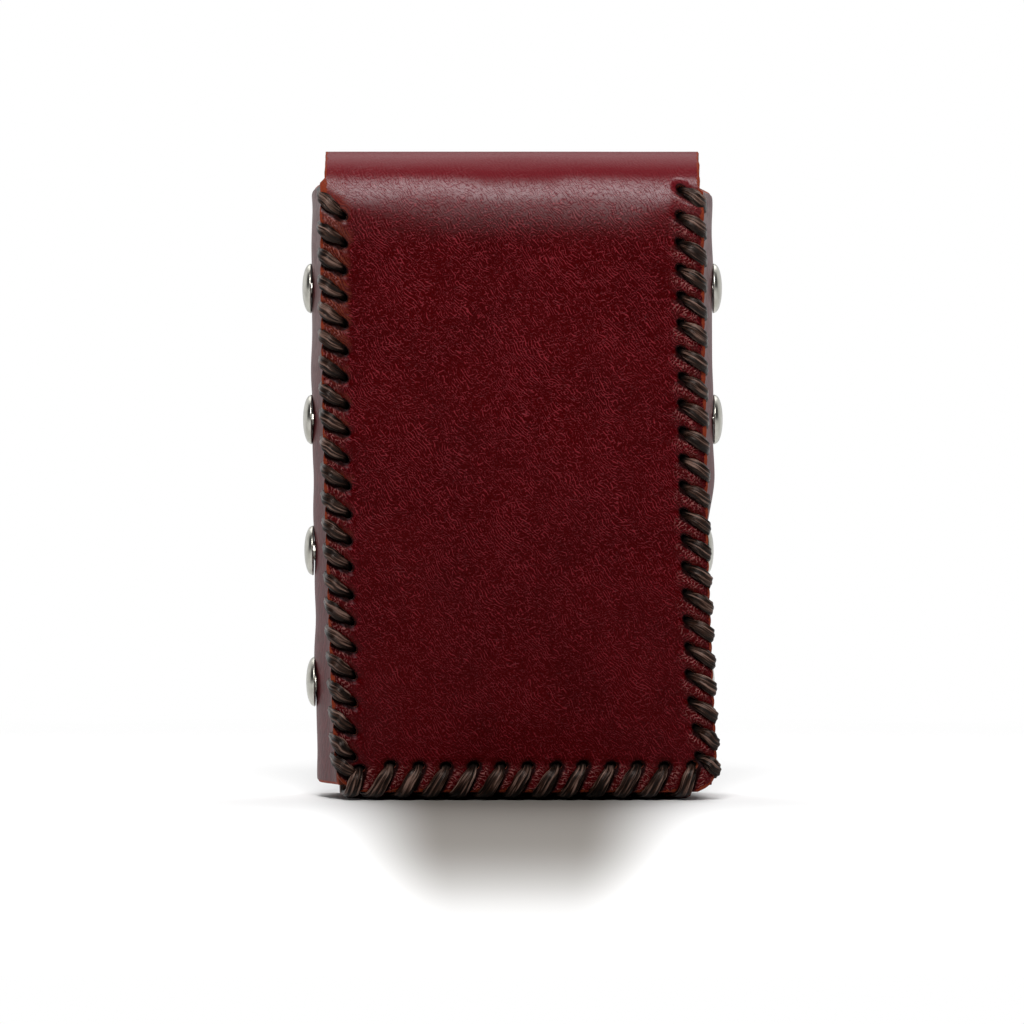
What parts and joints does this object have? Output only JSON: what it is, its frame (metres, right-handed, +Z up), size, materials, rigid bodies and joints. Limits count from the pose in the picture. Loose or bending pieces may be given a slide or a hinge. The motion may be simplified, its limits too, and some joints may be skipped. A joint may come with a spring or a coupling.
{
  "type": "cigarette case",
  "caption": "Upright laced leather case for a packet of cigarettes, with a fold-over flap, a press stud, bulged side gussets and nickel dome rivets.",
  "frame": {"origin": "middle of the bounding box, on the floor that the base stands on", "axes": "+Z up from the base to the fold, +X across the width to the right of the pictured back, +Y through the depth from the back panel to the flap's front"},
  "size_m": [0.0682, 0.0374, 0.1034],
  "materials": {
    "panel_leather": "burgundy full-grain leather, waxed, fine pebbled grain, raw orange-brown cut edges",
    "gusset_leather": "burgundy leather, a little duller, raw orange-brown cut edges",
    "waxed_lace": "dark brown waxed flat lace with lengthwise fibres",
    "nickel": "satin nickel plate"
  },
  "bodies": {
    "case_body": {"back_panel": "panel_leather", "front_panel": "panel_leather", "left_gusset": "gusset_leather", "right_gusset": "gusset_leather", "bottom_gusset": "gusset_leather", "back_lacing": "waxed_lace", "front_lacing": "waxed_lace", "left_rivet_cap_1": "nickel", "left_rivet_cap_2": "nickel", "left_rivet_cap_3": "nickel", "left_rivet_cap_4": "nickel", "right_rivet_cap_1": "nickel", "right_rivet_cap_2": "nickel", "right_rivet_cap_3": "nickel", "right_rivet_cap_4": "nickel", "left_rivet_base_1": "nickel", "left_rivet_base_2": "nickel", "left_rivet_base_3": "nickel", "left_rivet_base_4": "nickel", "right_rivet_base_1": "nickel", "right_rivet_base_2": "nickel", "right_rivet_base_3": "nickel", "right_rivet_base_4": "nickel", "snap_stud": "nickel", "snap_post": "nickel"},
    "flap_crown": {"flap_top": "panel_leather"},
    "flap_drop": {"flap_front": "panel_leather", "snap_cap": "nickel", "snap_socket": "nickel"}
  },
  "joints": [
    {"name": "flap_lift", "type": "hinge", "parent": "case_body", "child": "flap_crown", "pos_m": [0, -0.0154, 0.10135], "axis": [1, 0, 0], "range_deg": [0, 150]},
    {"name": "flap_bend", "type": "hinge", "parent": "flap_crown", "child": "flap_drop", "pos_m": [0, 0.0147, 0.10135], "axis": [1, 0, 0], "range_deg": [0, 75]}
  ],
  "couplings": [
    {"joint": "flap_bend", "follows": "flap_lift", "ratio": 0.5}
  ]
}
